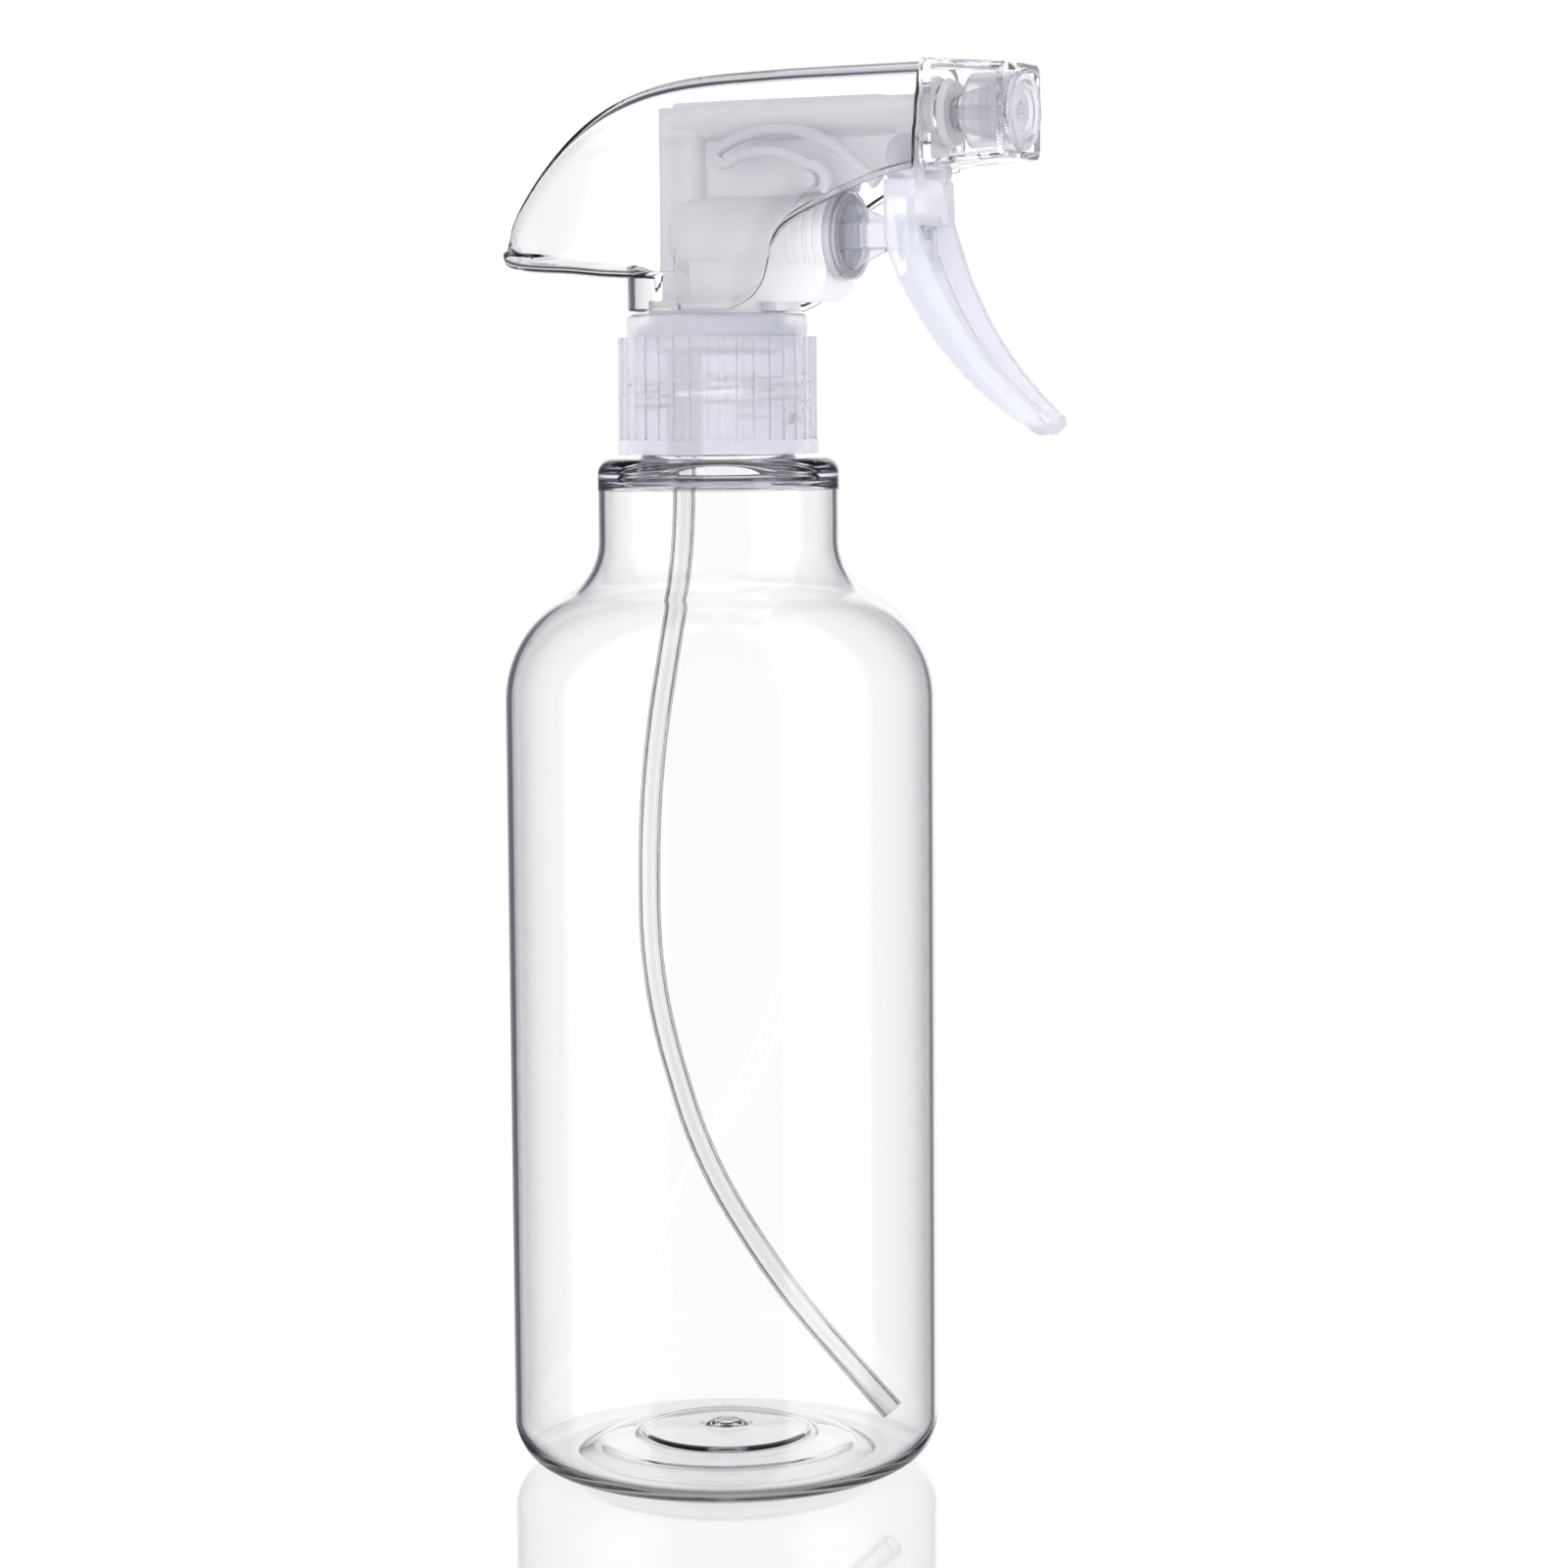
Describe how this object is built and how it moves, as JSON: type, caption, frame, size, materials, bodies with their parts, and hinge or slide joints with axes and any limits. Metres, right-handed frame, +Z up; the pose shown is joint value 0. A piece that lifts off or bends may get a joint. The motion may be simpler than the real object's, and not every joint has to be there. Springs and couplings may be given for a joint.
{
  "type": "trigger spray bottle",
  "caption": "Clear round bottle with a screw-on trigger sprayer for misting water: ribbed closure, clear shroud, pump, turning square nozzle and curved dip tube.",
  "frame": {"origin": "on the bottle's axis, at the plane of the ring that it stands on", "axes": "+Z up along the bottle's axis, +X the way it sprays, symmetric about the XZ plane apart from the threads"},
  "size_m": [0.0976, 0.07, 0.2272],
  "materials": {
    "clear_pet": "clear blown PET, polished",
    "clear_shell": "clear moulded plastic, polished",
    "milky_pp": "translucent milky polypropylene, satin gloss",
    "milky_trigger": "translucent milky polypropylene, gloss",
    "white_pp": "white polypropylene",
    "tube_pe": "translucent polyethylene tube",
    "seal_pe": "soft white polyethylene",
    "gasket_foam": "white foam washer",
    "seal_rubber": "pale silicone",
    "ball_steel": "polished stainless ball"
  },
  "bodies": {
    "bottle": {"bottle": "clear_pet"},
    "sprayer": {"pump_body": "milky_pp", "shroud": "clear_shell", "intake_retainer": "milky_pp", "ball_cage": "white_pp", "dip_tube": "tube_pe", "neck_gasket": "gasket_foam", "piston_guide": "milky_pp", "bow_spring_right": "white_pp", "bow_spring_left": "white_pp", "swirl_insert": "white_pp", "nozzle_seal": "seal_rubber"},
    "closure": {"closure": "milky_pp"},
    "trigger": {"trigger": "milky_trigger"},
    "piston": {"piston": "white_pp", "piston_seal": "seal_pe"},
    "nozzle": {"nozzle_cover": "clear_shell", "spray_orifice": "white_pp"},
    "inlet_ball": {"inlet_ball": "ball_steel"},
    "discharge_valve": {"discharge_valve": "seal_rubber"}
  },
  "joints": [
    {"name": "sprayer_lift", "type": "slide", "parent": "bottle", "child": "sprayer", "axis": [0, 0, 1], "range_m": [0, 0.00634]},
    {"name": "closure_turn", "type": "hinge", "parent": "sprayer", "child": "closure", "pos_m": [0, 0, 0.175], "axis": [0, 0, 1], "range_deg": [0, 540]},
    {"name": "trigger_pull", "type": "hinge", "parent": "sprayer", "child": "trigger", "pos_m": [0.0363, 0, 0.2126], "axis": [0, 1, 0], "range_deg": [0, 22], "stiffness_Nm_per_rad": 0.6, "springref_deg": -5.73, "deforming": ["bow_spring_right", "bow_spring_left"]},
    {"name": "piston_stroke", "type": "slide", "parent": "sprayer", "child": "piston", "axis": [-1, 0, 0], "range_m": [0, 0.00497]},
    {"name": "nozzle_turn", "type": "hinge", "parent": "sprayer", "child": "nozzle", "pos_m": [0.0464, 0, 0.2188], "axis": [1, 0, 0], "continuous": true},
    {"name": "inlet_ball_lift", "type": "slide", "parent": "sprayer", "child": "inlet_ball", "axis": [0, 0, 1], "range_m": [0, 0.001]},
    {"name": "discharge_valve_lift", "type": "slide", "parent": "sprayer", "child": "discharge_valve", "axis": [1, 0, 0], "range_m": [0, 0.0008], "stiffness_N_per_m": 40}
  ],
  "couplings": [
    {"joint": "piston_stroke", "follows": "trigger_pull", "m_per_rad": 0.012942},
    {"joint": "closure_turn", "follows": "sprayer_lift", "rad_per_m": 1485.4}
  ]
}
